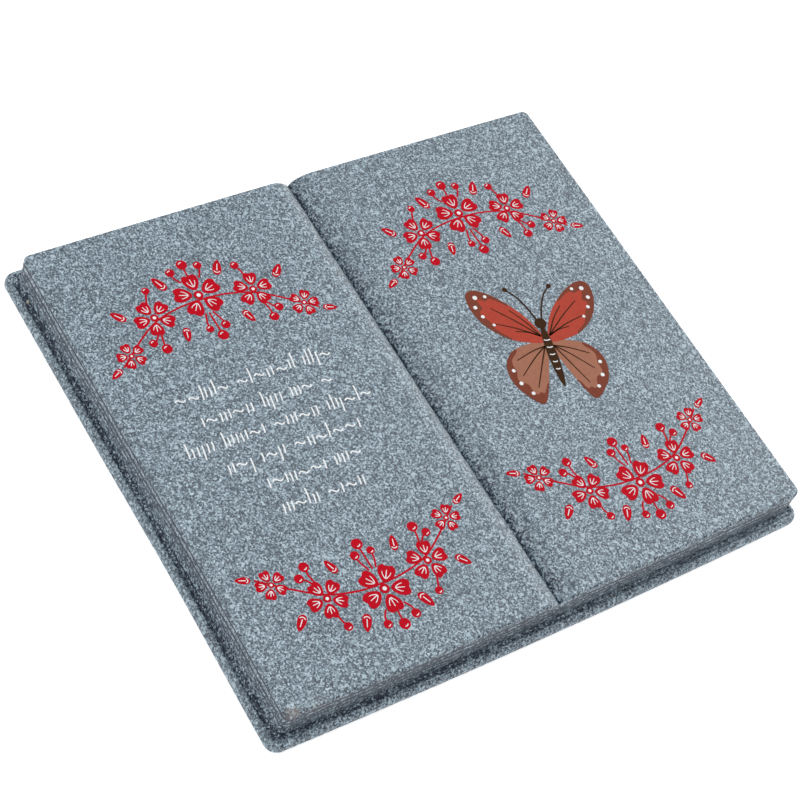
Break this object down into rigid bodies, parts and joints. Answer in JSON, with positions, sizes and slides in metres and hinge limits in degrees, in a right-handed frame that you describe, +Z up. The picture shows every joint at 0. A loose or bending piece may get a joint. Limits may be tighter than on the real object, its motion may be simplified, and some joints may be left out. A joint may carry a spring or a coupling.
{
  "type": "memorial plaque",
  "caption": "Flat open-book memorial plaque cast in one piece: a thin rimmed board carries a page block with scored sides, and two pages roll down into a gutter.",
  "frame": {"origin": "middle of the underside's bounding rectangle, on the underside", "axes": "+X across both pages to the right page, +Y from the foot of the pages to their head, +Z up out of the pages"},
  "size_m": [0.2, 0.1764, 0.015],
  "materials": {
    "stone_resin": "matte stone-filled resin, grey-blue with a fine pale and dark granite speckle",
    "crimson_print": "flat crimson print on the pages, satin",
    "white_print": "flat white print on the pages, satin",
    "clay_print": "flat clay-brown print on the right page, satin",
    "brick_print": "flat brick-red print on the right page, satin",
    "umber_print": "flat dark brown print on the right page, satin"
  },
  "bodies": {
    "root": {"open_book": "stone_resin"}
  },
  "joints": []
}
